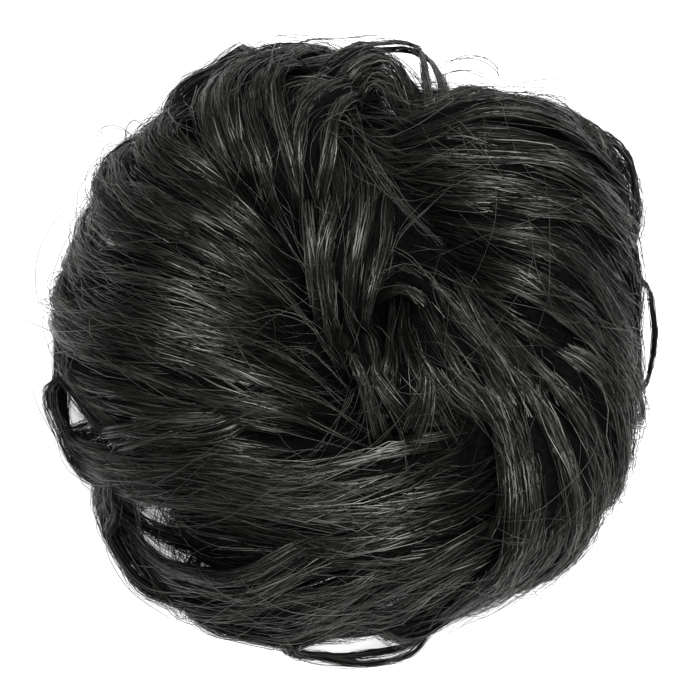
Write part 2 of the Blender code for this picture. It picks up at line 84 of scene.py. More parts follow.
# Locks that rise out of the middle, and most of them fall over the rim. A route is the lock's middle line, as
# x, y and height over the table. Past its last place the lock runs on down the side for tuck. Fullness is how
# thickly it is set with strands.
Lock = namedtuple("Lock", "name width thick tuck fullness route")
CROWN_LOCKS = (
    Lock("upper_left_back", 14, 8, 12, 0.8,
         ((-21, 32, 35), (-26, 40, 38), (-32, 47, 38), (-37, 52, 35), (-38, 57, 30), (-34, 62, 23))),
    Lock("upper_left_high", 11, 9, 8, 1.1,
         ((-21, 31, 36), (-29, 36, 43), (-37, 41, 45), (-43, 45, 43), (-46, 50, 39), (-44, 55, 32),
          (-38, 58, 25))),
    Lock("upper_left_bright", 12, 10, 8, 1.2,
         ((-15, 19, 37), (-21, 24, 47), (-28, 28, 51), (-36, 33, 50), (-44, 38, 46), (-50, 42, 41),
          (-52, 47, 34), (-49, 51, 28), (-44, 54, 22))),
    Lock("upper_left_low", 12, 10, 8, 1.2,
         ((-14, 14, 37), (-22, 20, 48), (-30, 25, 51), (-39, 30, 49), (-48, 34, 45), (-54, 38, 40),
          (-56, 43, 32), (-53, 47, 26), (-48, 51, 20))),
    Lock("left_high", 12, 10, 8, 1.1,
         ((-10, 7, 34), (-19, 13, 44), (-29, 19, 51), (-39, 24, 50), (-48, 28, 45), (-55, 32, 39),
          (-57, 38, 31), (-56, 44, 24), (-51, 49, 18))),
    Lock("left_upper", 11, 9, 8, 1.1,
         ((-8, 1, 34), (-19, 8, 42), (-29, 13, 50), (-39, 17, 51), (-49, 21, 47), (-57, 24, 40),
          (-62, 29, 31), (-62, 35, 24), (-58, 40, 18))),
    Lock("left_middle", 12, 10, 8, 1.2,
         ((-4, -6, 34), (-15, 1, 39), (-26, 7, 48), (-36, 11, 51), (-47, 15, 48), (-57, 18, 42),
          (-64, 22, 33), (-65, 28, 25), (-61, 34, 18))),
    Lock("left_bright", 12, 10, 8, 1.2,
         ((-1, -11, 32), (-12, -5, 37), (-23, 0, 44), (-33, 4, 50), (-44, 8, 50), (-55, 12, 45),
          (-64, 16, 36), (-67, 22, 26), (-65, 29, 18))),
    Lock("left_low", 11, 9, 8, 1.1,
         ((4, -17, 30), (-9, -11, 37), (-21, -6, 44), (-32, -2, 50), (-43, 2, 50), (-53, 5, 45),
          (-63, 9, 36), (-69, 15, 27), (-69, 22, 18))),
    Lock("left_under", 10, 9, 8, 1.1,
         ((6, -21, 31), (-7, -15, 46), (-19, -11, 53), (-32, -6, 51), (-46, -2, 46), (-60, 2, 39),
          (-70, 7, 28), (-72, 15, 18))),
    Lock("left_edge", 8, 8, 8, 1.0,
         ((0, -19, 33), (-14, -15, 46), (-27, -12, 49), (-40, -9, 47), (-53, -6, 43), (-65, -3, 34),
          (-72, 2, 24), (-73, 10, 16))),
    Lock("left_slit", 7, 7, 0, 0.9,
         ((-15, -15, 39), (-27, -13, 46), (-39, -12, 46), (-50, -10, 41), (-61, -9, 33), (-68, -6, 25))),
    Lock("left_ground", 9, 7, 0, 1.0,
         ((-40, -14, 40), (-50, -14, 36), (-58, -14, 30), (-65, -12, 24))),
    Lock("left_slip", 6, 6, 0, 0.9,
         ((-23, -13, 44), (-28, -16, 49), (-34, -18, 48), (-42, -19, 44), (-52, -17, 37))),
    Lock("left_slip_outer", 5, 6, 0, 0.9,
         ((-35, -14, 44), (-43, -17, 45), (-51, -20, 41), (-58, -22, 32))),
    Lock("sweep_top", 6, 8, 0, 1.1,
         ((2, -25, 36), (-10, -26, 42), (-22, -25, 45), (-34, -23, 44), (-47, -21, 40), (-57, -19, 32))),
    Lock("sweep_small", 4, 6, 0, 1.1,
         ((35, -16, 37), (27, -17, 45), (19, -18, 51), (11, -19, 49), (3, -21, 40))),
    Lock("sweep_high", 10, 10, 10, 1.3,
         ((37, -20, 26), (29, -22, 34), (20, -25, 46), (9, -28, 52), (-4, -30, 51), (-17, -31, 48),
          (-31, -29, 45), (-44, -28, 39), (-57, -27, 30), (-69, -22, 19))),
    Lock("sweep_middle", 11, 10, 10, 1.3,
         ((41, -22, 26), (32, -26, 33), (22, -29, 45), (9, -33, 52), (-5, -35, 51), (-19, -34, 48),
          (-34, -32, 44), (-47, -31, 37), (-59, -31, 26), (-69, -25, 17))),
    Lock("sweep_low", 10, 9, 0, 1.2,
         ((44, -25, 25), (35, -30, 33), (24, -35, 45), (11, -39, 51), (-3, -41, 49), (-15, -40, 44),
          (-26, -38, 41), (-36, -37, 36), (-44, -40, 29))),
    Lock("bowl_top", 9, 9, 0, 1.1,
         ((45, -30, 25), (36, -36, 34), (25, -42, 45), (11, -46, 48), (-4, -47, 44), (-17, -45, 39),
          (-28, -41, 35))),
    Lock("bowl_left", 10, 8, 0, 0.9,
         ((-12, -47, 39), (-23, -47, 38), (-33, -47, 36), (-41, -43, 32), (-45, -37, 28))),
    Lock("bowl", 11, 9, 10, 1.1,
         ((9, -44, 39), (-1, -46, 44), (-11, -50, 45), (-21, -54, 42), (-32, -56, 36), (-43, -55, 28),
          (-52, -49, 21), (-58, -40, 16))),
    Lock("bowl_low", 11, 9, 12, 1.0,
         ((14, -48, 36), (4, -54, 40), (-6, -59, 38), (-17, -63, 33), (-29, -64, 26), (-41, -61, 18))),
    Lock("bowl_ground", 9, 7, 0, 1.1,
         ((-24, -51, 31), (-34, -49, 29), (-43, -46, 26), (-51, -42, 22), (-57, -36, 18))),
    Lock("bottom_sweep", 11, 9, 12, 1.1,
         ((42, -37, 34), (36, -42, 43), (28, -47, 48), (19, -52, 44), (9, -57, 37), (-1, -61, 31),
          (-12, -65, 22))),
    Lock("bottom", 11, 8, 12, 1.0,
         ((27, -59, 27), (16, -64, 27), (4, -67, 25), (-8, -69, 21), (-20, -70, 17))),
    Lock("inner_bright", 7, 9, 12, 1.2,
         ((5, 12, 42), (9, 17, 49), (14, 18, 51), (19, 14, 51), (24, 6, 49), (30, -2, 45), (36, -11, 46),
          (40, -21, 50), (42, -32, 53), (41, -42, 51), (37, -52, 44), (30, -60, 33), (21, -67, 20))),
    Lock("inner_outer", 9, 9, 12, 1.2,
         ((21, 21, 39), (24, 14, 46), (28, 6, 47), (33, -1, 45), (38, -8, 45), (42, -16, 48),
          (45, -25, 52), (46, -35, 52), (44, -46, 46), (39, -55, 36), (31, -63, 22))),
    Lock("inner_root", 7, 8, 12, 1.1,
         ((24, 2, 38), (29, -6, 43), (34, -14, 46), (37, -24, 49), (38, -34, 50), (35, -45, 45),
          (29, -54, 35), (20, -62, 24))),
    Lock("right_middle", 9, 9, 12, 1.1,
         ((25, 20, 38), (31, 11, 42), (38, 2, 43), (45, -8, 43), (50, -17, 46), (54, -27, 47),
          (54, -37, 42), (51, -49, 30), (44, -58, 18))),
    Lock("right_bright", 9, 9, 12, 1.1,
         ((28, 16, 38), (37, 8, 43), (46, 0, 47), (54, -7, 48), (60, -17, 42), (62, -29, 34),
          (60, -41, 23))),
    Lock("right_outer", 10, 9, 12, 1.0,
         ((35, 12, 39), (45, 6, 41), (54, -1, 41), (62, -11, 37), (66, -22, 28), (65, -33, 17))),
    Lock("right_rim", 10, 8, 12, 1.0,
         ((46, 15, 43), (56, 8, 41), (64, 0, 36), (68, -10, 28), (69, -20, 20))),
    Lock("upper_right_edge", 8, 7, 12, 0.9,
         ((20, 55, 34), (26, 61, 31), (35, 62, 27), (43, 61, 24), (51, 57, 20), (58, 51, 14))),
    Lock("upper_right_crest", 9, 8, 12, 1.1,
         ((4, 49, 38), (13, 53, 42), (23, 56, 45), (32, 57.5, 47), (41, 56.5, 46), (50, 54, 41),
          (58, 49, 31), (65, 42, 18))),
    Lock("upper_right_high", 10, 8, 12, 1.1,
         ((7, 46, 39), (15, 48, 44.5), (23, 49, 47), (31, 48, 46), (40, 47, 44.5), (48, 46, 45),
          (56, 43, 42), (63, 38, 31), (68, 31, 18))),
    Lock("upper_right_soft", 11, 8, 12, 1.1,
         ((7, 43, 38), (18, 44, 43), (27, 44, 46.5), (36, 43, 48.5), (45, 41, 47), (54, 38, 43),
          (62, 33, 34), (68, 26, 20))),
    Lock("upper_right_bright", 12, 10, 12, 1.2,
         ((9, 39, 37), (18, 39, 44), (27, 39, 47.5), (35, 38, 47.5), (44, 36, 46), (52, 32, 46.5),
          (60, 26, 41), (66, 19, 27))),
    Lock("upper_right_middle", 11, 9, 12, 1.2,
         ((10, 35, 35), (19, 35, 42), (31, 33, 50), (42, 31, 53), (53, 27, 47), (62, 20, 37), (69, 10, 23))),
    Lock("upper_right_ground", 16, 8, 0, 1.0,
         ((10, 49, 33), (22, 53, 37), (34, 54, 37), (45, 52, 34), (55, 47, 29))),
    Lock("upper_right_wide", 12, 10, 12, 1.2,
         ((11, 29, 35), (21, 28, 40), (32, 24, 49), (42, 19, 54), (52, 14, 49), (60, 5, 39), (66, -6, 26))),
    Lock("upper_right_low", 10, 9, 12, 1.1,
         ((14, 25, 35), (23, 22, 40), (33, 16, 46), (42, 10, 51), (51, 3, 47), (58, -6, 38), (63, -16, 26))),
    Lock("top_left_thin", 8, 7, 8, 1.0,
         ((-21, 34, 37), (-26, 42, 46), (-29, 50, 48), (-31, 58, 45),
          (-30, 65, 39), (-24, 70, 31), (-15, 73, 22))),
    Lock("top_left_dark", 11, 8, 8, 0.9,
         ((-18, 35, 35), (-22, 45, 42), (-25, 55, 43), (-24, 64, 39), (-17, 70, 32), (-7, 73, 23))),
    Lock("top_ground", 14, 8, 0, 0.9,
         ((-30, 52, 34), (-24, 61, 34), (-14, 66, 33), (-3, 66, 31), (6, 62, 28))),
    Lock("top_fan_left", 9, 8, 0, 1.2,
         ((-12, 29, 36), (-15, 37, 49), (-17, 45, 51), (-20, 54, 47),
          (-21, 61, 42), (-19, 67, 38), (-13, 69, 32))),
    Lock("top_fan_middle", 7, 7, 0, 1.1,
         ((-12, 29, 36), (-13, 38, 48), (-14, 46, 50), (-15, 55, 46), (-15, 61, 42), (-11, 64, 36))),
    Lock("top_fan_right", 7, 8, 0, 1.3,
         ((-11, 30, 36), (-10, 38, 49), (-9, 46, 52), (-8, 54, 50), (-5, 60, 45), (2, 63, 38))),
    Lock("top_dome", 10, 9, 0, 1.2,
         ((-6, 54, 33), (-6, 63, 35), (-2, 69, 34), (5, 73, 31), (12, 71, 29), (17, 64, 29), (19, 57, 29))),
    Lock("top_dome_inner", 12, 8, 0, 1.2,
         ((-2, 53, 33), (-1, 61, 36), (4, 66, 35), (10, 64, 34), (14, 57, 32))),
    Lock("centre_left", 6, 7, 0, 1.0,
         ((-7, 50, 36), (-8, 42, 42), (-8, 35, 48), (-7, 28, 51), (-6, 20, 51), (-6, 13, 47), (-4, 5, 38))),
    Lock("centre_bright", 9, 8, 0, 1.2,
         ((-2, 52, 36), (-1, 44, 41), (0, 37, 47), (-1, 30, 52), (-2, 23, 53),
          (-2, 16, 50), (-1, 8, 45), (1, -1, 37))),
    Lock("centre_right", 8, 8, 0, 1.2,
         ((8, 52, 36), (8, 44, 40), (7, 36, 45), (6, 28, 50), (4, 20, 54),
          (3, 13, 54), (3, 6, 49), (5, -3, 38))),
)

# Locks in the middle that open into fans of free tips, given in the same way
TUFTS = (
    Lock("centre_low", 9, 9, 0, 1.5,
         ((-2, 10, 40), (1, 2, 49), (4, -5, 53), (7, -12, 53), (10, -18, 50), (13, -23, 46))),
    Lock("centre_tuft", 9, 8, 0, 1.3,
         ((11, 15, 40), (12, 6, 47), (13, -2, 52), (13, -9, 53), (11, -16, 50), (9, -22, 45))),
    Lock("centre_tuft_bright", 11, 9, 0, 1.6,
         ((14, 17, 41), (15, 8, 49), (18, 0, 54), (22, -7, 54), (26, -13, 51), (31, -18, 47))),
    Lock("centre_tuft_right", 7, 8, 0, 1.2,
         ((18, 17, 42), (21, 8, 50), (26, 0, 53), (31, -8, 51), (36, -15, 47))),
)

# Locks that run along the rim, given in the same way. Their width lies up and down the side.
RIM_LOCKS = (
    Lock("left_shoulder", 10, 7, 0, 1.3,
         ((-58, 34, 27), (-61.5, 40, 21), (-60.5, 46, 18), (-55.5, 51, 18), (-48, 54, 20), (-42, 57, 25))),
    Lock("left_outer", 13, 6, 0, 1.3,
         ((-54, 37, 24), (-59.5, 33, 19), (-64.5, 27, 17), (-69.5, 18, 16), (-73, 8, 16), (-73.5, -4, 16),
          (-72.5, -15, 16), (-69, -24, 18), (-63, -30, 23))),
    Lock("left_inner", 11, 7, 0, 1.0,
         ((-60, 22, 34), (-66, 15, 29), (-68, 6, 27), (-69, -4, 27), (-65, -12, 29), (-59, -19, 32))),
    Lock("left_corner", 12, 7, 0, 1.0,
         ((-75, -8, 20), (-73, -19, 17), (-70, -27, 15), (-63, -33, 15), (-53, -36, 20))),
    Lock("lower_left_outer", 14, 8, 0, 1.1,
         ((-60, -31, 24), (-61, -40, 15), (-58, -49, 13), (-52.5, -56, 13), (-44.5, -60.5, 15),
          (-36, -62.5, 21))),
    Lock("lower_left_inner", 11, 7, 0, 0.9,
         ((-55, -30, 31), (-55, -40, 24), (-53, -48, 20), (-49, -55, 18), (-40, -60, 20), (-30, -62, 24))),
    Lock("bottom_left_outer", 13, 8, 0, 1.1,
         ((-43, -60.5, 22), (-35, -68.5, 15), (-25, -72.5, 13), (-14, -73.5, 14), (-4, -71, 19),
          (5, -66, 27))),
    Lock("bottom_thin", 6, 5, 0, 1.6,
         ((-17, -72.5, 21), (-9, -75.5, 14), (1, -77.2, 12), (10, -76, 13), (19, -70.5, 20))),
    Lock("bottom_right_outer", 14, 8, 0, 1.1,
         ((8, -71, 22), (20, -68.5, 15), (32, -62.5, 13), (41, -55.5, 13), (48, -48, 16), (54, -38, 24))),
    Lock("right_low_outer", 14, 8, 0, 1.1,
         ((43, -51, 23), (53, -39.5, 15), (61.5, -28, 13), (66.5, -15, 15), (68.5, -3, 18), (66, 7, 27))),
    Lock("right_upper_outer", 13, 7, 0, 1.0,
         ((68.5, -10, 24), (70.5, 3, 19), (71, 14, 20), (68, 24, 25), (62, 33, 33))),
    Lock("right_thin", 4, 3, 0, 1.8,
         ((73, 18, 21), (75.5, 11, 15), (76.5, 5, 14), (75.5, -2, 15), (71.5, -10, 20))),
    Lock("upper_right_outer", 14, 8, 0, 1.1,
         ((53, 57, 23), (62, 52, 15), (68, 44, 14), (70, 35, 15), (68.5, 24, 18), (65.5, 13, 27))),
    Lock("upper_right_inner", 11, 7, 0, 1.0,
         ((46, 55, 32), (55, 50, 28), (62, 43, 26), (66, 34, 26), (66, 24, 30))),
    Lock("top_right_outer", 12, 7, 0, 1.0,
         ((18, 59, 30), (27, 62, 22), (37, 62.5, 18), (48, 60, 16), (58, 55, 17), (64, 47, 24))),
    Lock("top_thin", 5, 3, 0, 1.3,
         ((-3, 74, 24), (5, 76, 19), (12, 77, 17), (17, 76, 17), (19.5, 72, 19), (20.5, 67, 24),
          (21, 61, 31))),
    Lock("top_left_outer", 13, 8, 0, 1.3,
         ((-37, 60, 27), (-28, 69, 19), (-18, 74.5, 16), (-8, 75, 16), (0, 72, 20), (6, 66, 28))),
    Lock("upper_left_outer", 12, 7, 0, 1.3,
         ((-47, 51, 24), (-46, 58, 18), (-41, 65, 16), (-33, 71, 17), (-24, 74, 22))),
)

# Single hairs that stand out from the rim or lie over the top, with how many run together
Flyaway = namedtuple("Flyaway", "name hairs route")
FLYAWAYS = (
    Flyaway("left_wide_arc", 1, ((-62, 38, 28), (-70, 34, 26), (-77, 24, 22), (-78, 14, 20), (-75, 6, 20))),
    Flyaway("left_whisker", 1, ((-86, 11, 14), (-82, 8, 15), (-76, 6, 17), (-70, 7, 20))),
    Flyaway("left_whisker_low", 1, ((-82, -2, 12), (-80, -10, 14), (-75, -20, 16), (-70, -24, 18))),
    Flyaway("left_curl", 2, ((-58, 50, 26), (-62, 53, 22), (-61, 56, 20), (-56, 55, 22), (-52, 52, 25))),
    Flyaway("left_curl_tall", 1, ((-55, 50, 26), (-56, 55, 22), (-54, 58, 20), (-50, 55, 23))),
    Flyaway("top_wisp", 3, ((20, 69, 26), (27, 73, 22), (34, 73, 20), (37, 70, 20), (36, 65, 22))),
    Flyaway("top_wisp_low", 2, ((18, 66, 28), (25, 69, 26), (31, 69, 24), (37, 66, 24))),
    Flyaway("top_right_wisp", 2, ((41, 66, 24), (46, 68, 20), (52, 69, 18), (56, 67, 18))),
    Flyaway("top_right_wisp_low", 2, ((44, 63, 24), (50, 64, 21), (56, 63, 19), (61, 60, 18))),
    Flyaway("top_back_wisp", 2, ((-16, 76, 16), (-10, 79, 14), (-3, 79, 14), (4, 80, 14), (9, 79, 15))),
    Flyaway("lower_left_wisp", 2,
            ((-60, -42, 18), (-61, -50, 15), (-57, -57, 13), (-50, -63, 12), (-42, -68, 11))),
    Flyaway("bottom_wisp", 3, ((-20, -73, 15), (-10, -78, 12), (0, -79, 10), (10, -78, 11), (17, -73, 15))),
    Flyaway("right_wisp", 2, ((71, 20, 18), (76, 12, 14), (78, 4, 12), (76, -5, 13), (71, -14, 17))),
)

# Single hairs that lie over the dark hollows in the middle
CROSSING_HAIRS = (
    Flyaway("slit_tips", 3, ((8, -10, 54), (11, -16, 54), (13, -22, 54), (14, -28, 55))),
    Flyaway("slit_tips_left", 3, ((2, -8, 53), (-1, -14, 53), (-5, -20, 52), (-9, -25, 52))),
    Flyaway("slit_tips_right", 3, ((24, -8, 55), (29, -14, 55), (34, -20, 54), (38, -27, 54))),
    Flyaway("slit_roots", 3, ((-24, -4, 53), (-12, -9, 53), (-2, -15, 52), (6, -20, 51))),
    Flyaway("slit_roots_low", 2, ((-26, -8, 53), (-14, -14, 52), (-3, -19, 51), (5, -23, 50))),
    Flyaway("pit_low_hairs", 5, ((-28, 4, 54), (-18, 0, 52), (-9, -6, 50), (0, -14, 49))),
    Flyaway("pit_high_hairs", 5, ((-22, 20, 54), (-14, 12, 53), (-7, 4, 51), (-1, -4, 49))),
    Flyaway("pit_back_hairs", 4, ((-18, 32, 53), (-13, 24, 53), (-9, 17, 52), (-7, 10, 50))),
    Flyaway("upper_pit_hairs", 5, ((4, 46, 52), (9, 38, 52), (15, 31, 51), (22, 25, 51))),
    Flyaway("upper_pit_cross", 4, ((24, 40, 52), (17, 34, 51), (11, 27, 51), (8, 18, 52))),
    Flyaway("slit_hair", 1, ((-28, -13, 50), (-20, -17, 52), (-9, -21, 53), (4, -24, 52))),
    Flyaway("pit_hair", 2, ((-30, 10, 53), (-24, 8, 54), (-14, 9, 54), (-6, 4, 52), (0, -8, 50))),
    Flyaway("pit_hair_low", 2, ((-20, -1, 53), (-12, 1, 53), (-5, -3, 52), (1, -11, 52))),
    Flyaway("middle_hair", 2, ((3, 12, 57), (8, 19, 57), (14, 21, 57), (20, 16, 57), (23, 6, 55))),
    Flyaway("middle_hair_high", 2, ((6, 24, 55), (10, 24, 56), (15, 21, 56), (20, 15, 56), (26, 4, 54))),
    Flyaway("cross_hair", 1, ((22, 24, 52), (20, 17, 55), (21, 10, 56), (23, 3, 55))),
    Flyaway("back_hair", 2, ((3, 50, 48), (8, 42, 50), (12, 37, 50), (16, 33, 49))),
    Flyaway("back_hair_low", 1, ((-3, 46, 49), (3, 40, 51), (8, 38, 51), (14, 32, 50))),
    Flyaway("right_arc", 2, ((46, 33, 56), (54, 28, 53), (60, 20, 48), (63, 10, 43), (62, 2, 40))),
    Flyaway("right_lower_arc", 1, ((30, 18, 50), (38, 9, 52), (43, 0, 52), (44, -9, 53), (40, -16, 55))),
    Flyaway("left_cross", 1, ((-54, 24, 46), (-57, 17, 43), (-56, 8, 43), (-52, 1, 46))),
    Flyaway("sweep_hair", 1, ((40, -14, 55), (42, -24, 55), (40, -32, 54), (36, -38, 52))),
)

# Where the photograph shows the table through the hair, seen from above. Left is the share of the strands
# that still cross it.
Gap = namedtuple("Gap", "name x y across along tilt_deg left")
GAPS = (
    Gap("left_low", -65.0, -18.8, 6.0, 2.3, -43, 0.25),
    Gap("left_high", -61.5, 28.5, 4.6, 2.5, 55, 0.05),
    Gap("lower_left", -49.5, -37.0, 4.6, 3.8, -30, 0.4),
    Gap("lower_left_small", -51.0, -50.2, 1.6, 2.6, 20, 0.3),
    Gap("top_left", -35.8, 63.5, 2.4, 1.6, 35, 0.2),
    Gap("top", 14.6, 70.2, 4.4, 1.9, -55, 0.1),
    Gap("bottom", 1.0, -73.4, 11.5, 2.1, 2, 0.05),
    Gap("right", 75.3, 5.5, 1.3, 5.5, 0, 0.1),
)

# Dark hollows between the locks, where the hair underneath lies deeper
Pit = namedtuple("Pit", "name x y across along depth")
PITS = (
    Pit("upper", -13, 25, 6, 12, 9),
    Pit("middle", -12, 3, 15, 11, 9),
    Pit("upper_right", 13, 30, 10, 13, 9),
    Pit("slit", -3, -20, 19, 5, 8),
    Pit("centre_right", 11, 12, 8, 8, 8),
    Pit("lower_right", 34, -22, 5, 9, 8),
)

SURFACE_STEPS = 400
CURVE_STEPS = 40  # between two of the points that a curve is given
LOCK_STATIONS = 48
SINK = 8.0  # how deep under the surface a lock starts and ends
SINK_RUN = 5.0  # how far past its first and last places that is
TIP_DIP = -6.0  # the lift of a tucked end
MOST_SPREAD = 4  # how many times wider a lock may be on the chart than it is in space


def smooth_curve(points, count):
    """count points, evenly spaced, on a Catmull-Rom curve through the given ones."""
    points = np.array(points, float)
    padded = np.vstack([2 * points[0] - points[1], points, 2 * points[-1] - points[-2]])
    fine = []
    for i in range(len(points) - 1):
        a, b, c, d = padded[i : i + 4]
        for t in np.linspace(0, 1, CURVE_STEPS, endpoint=False):
            bend = (2 * a - 5 * b + 4 * c - d) * t**2 + (3 * b - a - 3 * c + d) * t**3
            fine.append(0.5 * (2 * b + (c - a) * t + bend))
    fine = np.array([*fine, points[-1]])
    along = np.concatenate([[0], np.cumsum(np.linalg.norm(np.diff(fine, axis=0), axis=1))])
    wanted = np.linspace(0, along[-1], count)
    return np.stack([np.interp(wanted, along, column) for column in fine.T], 1)


class HairSurface:
    """The mass of hair as a turned surface. A place on it is a point of a flat chart: its reach, in mm along
    the surface from the middle of the top, in the direction seen from above."""

    def __init__(self):
        line = smooth_curve(MERIDIAN, SURFACE_STEPS)
        self.reach = np.concatenate([[0], np.cumsum(np.linalg.norm(np.diff(line, axis=0), axis=1))])
        self.radius, self.height = line.T
        tangent = np.gradient(line, axis=0)
        tangent[0] = (1.0, 0.0)
        tangent /= np.linalg.norm(tangent, axis=1)[:, None]
        self.normal_out, self.normal_up = -tangent[:, 1], tangent[:, 0]
        self.rim_reach = self.reach[np.argmax(self.radius)]
        self.end = self.reach[-1]

    def chart(self, x, y, height):
        """The chart place of a point in space and its lift off the surface."""
        radius = math.hypot(x, y)
        near = np.argmin((radius - self.radius) ** 2 + (height - self.height) ** 2)
        out = (radius - self.radius[near]) * self.normal_out[near]
        up = (height - self.height[near]) * self.normal_up[near]
        reach = self.reach[near]
        return reach * x / radius, reach * y / radius, out + up

    def radius_at(self, reach):
        return np.interp(reach, self.reach, self.radius)

    def place(self, chart, lift):
        """Points in space from chart places lifted off the surface, and the surface's normals there."""
        reach = np.linalg.norm(chart, axis=-1)
        outward = chart / np.maximum(reach, TINY)[..., None]
        out = np.interp(reach, self.reach, self.normal_out)
        up = np.interp(reach, self.reach, self.normal_up)
        radius = np.interp(reach, self.reach, self.radius) + lift * out
        height = np.interp(reach, self.reach, self.height) + lift * up
        points = np.concatenate([outward * radius[..., None], height[..., None]], -1)
        normals = np.concatenate([outward * out[..., None], up[..., None]], -1)
        return points, normals


SURFACE = HairSurface()


def pit_depth(chart):
    """How far the ground under the locks is let down at chart places."""
    depth = np.zeros(chart.shape[:-1])
    for pit in PITS:
        off = ((chart[..., 0] - pit.x) / pit.across) ** 2 + ((chart[..., 1] - pit.y) / pit.along) ** 2
        depth = np.maximum(depth, pit.depth * np.exp(-off))
    return depth


class LockLine:
    """A lock's middle line, sampled finely: its chart places, its lifts and the direction across it."""

    def __init__(self, lock, sunk_root=True, sunk_tip=True, stations=LOCK_STATIONS):
        stops = [SURFACE.chart(*place) for place in lock.route]
        if lock.tuck:
            x, y, _ = stops[-1]
            further = 1 + lock.tuck / math.hypot(x, y)
            stops.append((x * further, y * further, TIP_DIP))
        elif sunk_tip:
            stops.append(self.beyond(stops[-2], stops[-1]))
        if sunk_root:
            stops.insert(0, self.beyond(stops[1], stops[0]))
        path = smooth_curve(stops, stations)
        self.chart, self.lift = path[:, :2], path[:, 2]
        self.share = np.linspace(0, 1, stations)
        self.length = np.linalg.norm(np.diff(path, axis=0), axis=1).sum()
        self.ahead = np.gradient(self.chart, axis=0)
        self.ahead /= np.linalg.norm(self.ahead, axis=1)[:, None]
        across = np.stack([-self.ahead[:, 1], self.ahead[:, 0]], 1)
        # A mm round the chart is less than a mm round the rim, so the width that runs that way grows.
        reach = np.linalg.norm(self.chart, axis=1)
        outward = self.chart / np.maximum(reach, TINY)[:, None]
        spread = np.maximum(reach, 1) / np.maximum(SURFACE.radius_at(reach), 1)
        round_rim = across - outward * (across * outward).sum(1)[:, None]
        self.across = across + round_rim * (np.clip(spread, 1, MOST_SPREAD) - 1)[:, None]

    @staticmethod
    def beyond(near, end):
        """A stop past the end of the line, sunk under the surface."""
        step = np.subtract(end[:2], near[:2])
        x, y = end[:2] + step * SINK_RUN / np.linalg.norm(step)
        return x, y, -SINK

    def at(self, values, share):
        """The line's values at the given shares of its length."""
        if values.ndim == 1:
            return np.interp(share, self.share, values)
        return np.stack([np.interp(share, self.share, column) for column in values.T], -1)


OCTAVE_RATE, OCTAVE_FADE = 1.8, 2.2  # how much quicker and smaller the second wave is
OCTAVE_RATES = (0.7, 1.3)
WAVE_HEIGHT = 1.3  # what the two waves together are divided by


def wander(rng, count, share, cycles, size):
    """Smooth random waves, one row for each of count strands."""
    total = np.zeros((count, len(share)))
    for octave in range(2):
        phase = rng.uniform(0, 2 * math.pi, (count, 1))
        rate = cycles * OCTAVE_RATE**octave * rng.uniform(*OCTAVE_RATES, (count, 1))
        total += np.sin(2 * math.pi * rate * share + phase) / OCTAVE_FADE**octave
    return total * size / WAVE_HEIGHT


# How the strands lie in a lock. Sway is across the lock and swell is up from the hair, as shares of half its
# width and of half its thickness, and so are the places and spreads.
WAVE_LENGTH = 60.0
TRESS_WIDTH = 3.6
TRESS_EDGE = 0.7  # where the outermost tresses lie
TRESS_HEIGHTS = (-0.25, 0.3)
TRESS_SWAY, TRESS_SWELL = 0.22, 0.36
WISPS_A_TRESS = 6
WISP_ANGLES = (-0.1 * math.pi, 1.1 * math.pi)  # round the tress, mostly on its upper side
WISP_AWAY = (0.4, 1.0)
WISP_OUT, WISP_UP = 0.9, 0.45
WISP_SWAY, WISP_SWELL = 0.07, 0.10
WISP_BEATS = (0.8, 1.6)  # how often a wisp closes and opens in one wave of the lock
WISP_SPREAD, WISP_SPREAD_CHANGE = 0.12, 0.05
STRAND_CYCLES, STRAND_SWAY = 1.3, 0.03
STRAND_FLATNESS = 0.8  # how much a wisp is flattened
CROSSING = 0.14  # the share of a lock's strands that cross it
CROSSING_CYCLES, CROSSING_SWAY, CROSSING_SWELL = 0.8, 0.45, 0.4


